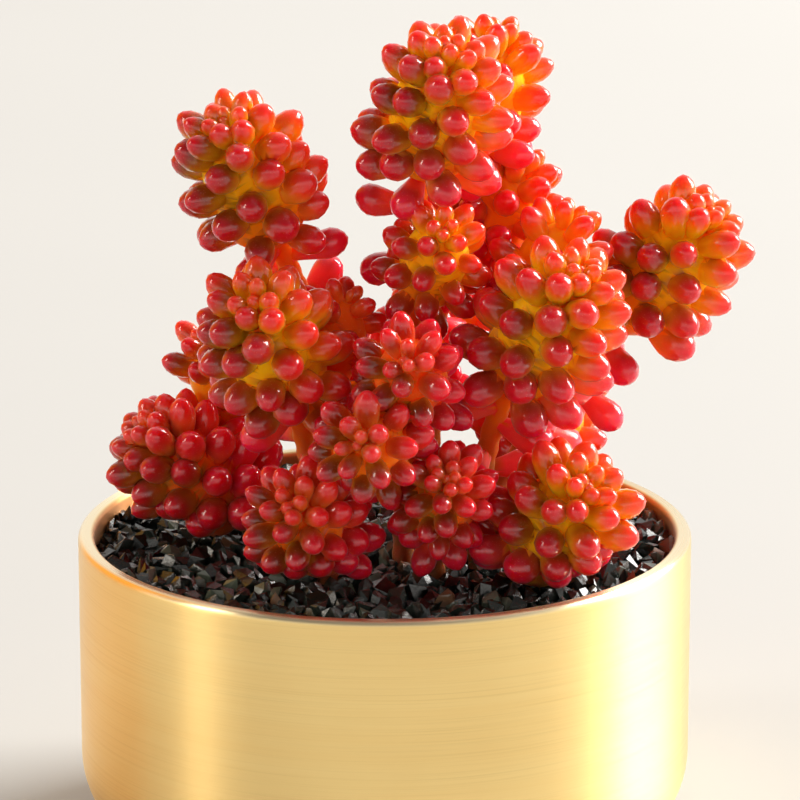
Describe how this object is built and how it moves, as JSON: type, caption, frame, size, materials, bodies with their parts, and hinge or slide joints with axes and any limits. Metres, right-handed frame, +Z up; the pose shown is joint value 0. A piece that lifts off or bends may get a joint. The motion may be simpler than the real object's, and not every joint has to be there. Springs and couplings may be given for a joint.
{
  "type": "potted jelly bean sedum",
  "caption": "Succulent with branching stems covered in plump bean-shaped red and orange leaves, set in black grit in a round brushed brass pot.",
  "frame": {"origin": "centre of the pot's flat underside", "axes": "+Z up out of the pot, -Y towards the front of the plant, +X to its right as seen from the front"},
  "size_m": [0.1078, 0.1, 0.1403],
  "materials": {
    "pot": "brushed round, satin, with a lighter polished lip",
    "soil": "crumbly potting soil, matte",
    "grit": "broken black volcanic grit, glossy faces",
    "leaves": "waxy, translucent plant flesh: yellow at the leaf base, orange to crimson at the tip"
  },
  "bodies": {
    "root": {"pot": "pot", "potting_soil": "soil", "black_grit": "grit", "shoot_tall": "leaves", "shoot_right_front": "leaves", "shoot_left_front": "leaves", "shoot_far_right": "leaves", "shoot_far_left": "leaves", "shoot_low_right": "leaves", "shoot_low_left": "leaves", "shoot_middle": "leaves", "shoot_low_middle": "leaves", "shoot_outer_left": "leaves", "shoot_back_left": "leaves", "shoot_back_middle": "leaves", "shoot_back_right": "leaves"}
  },
  "joints": []
}
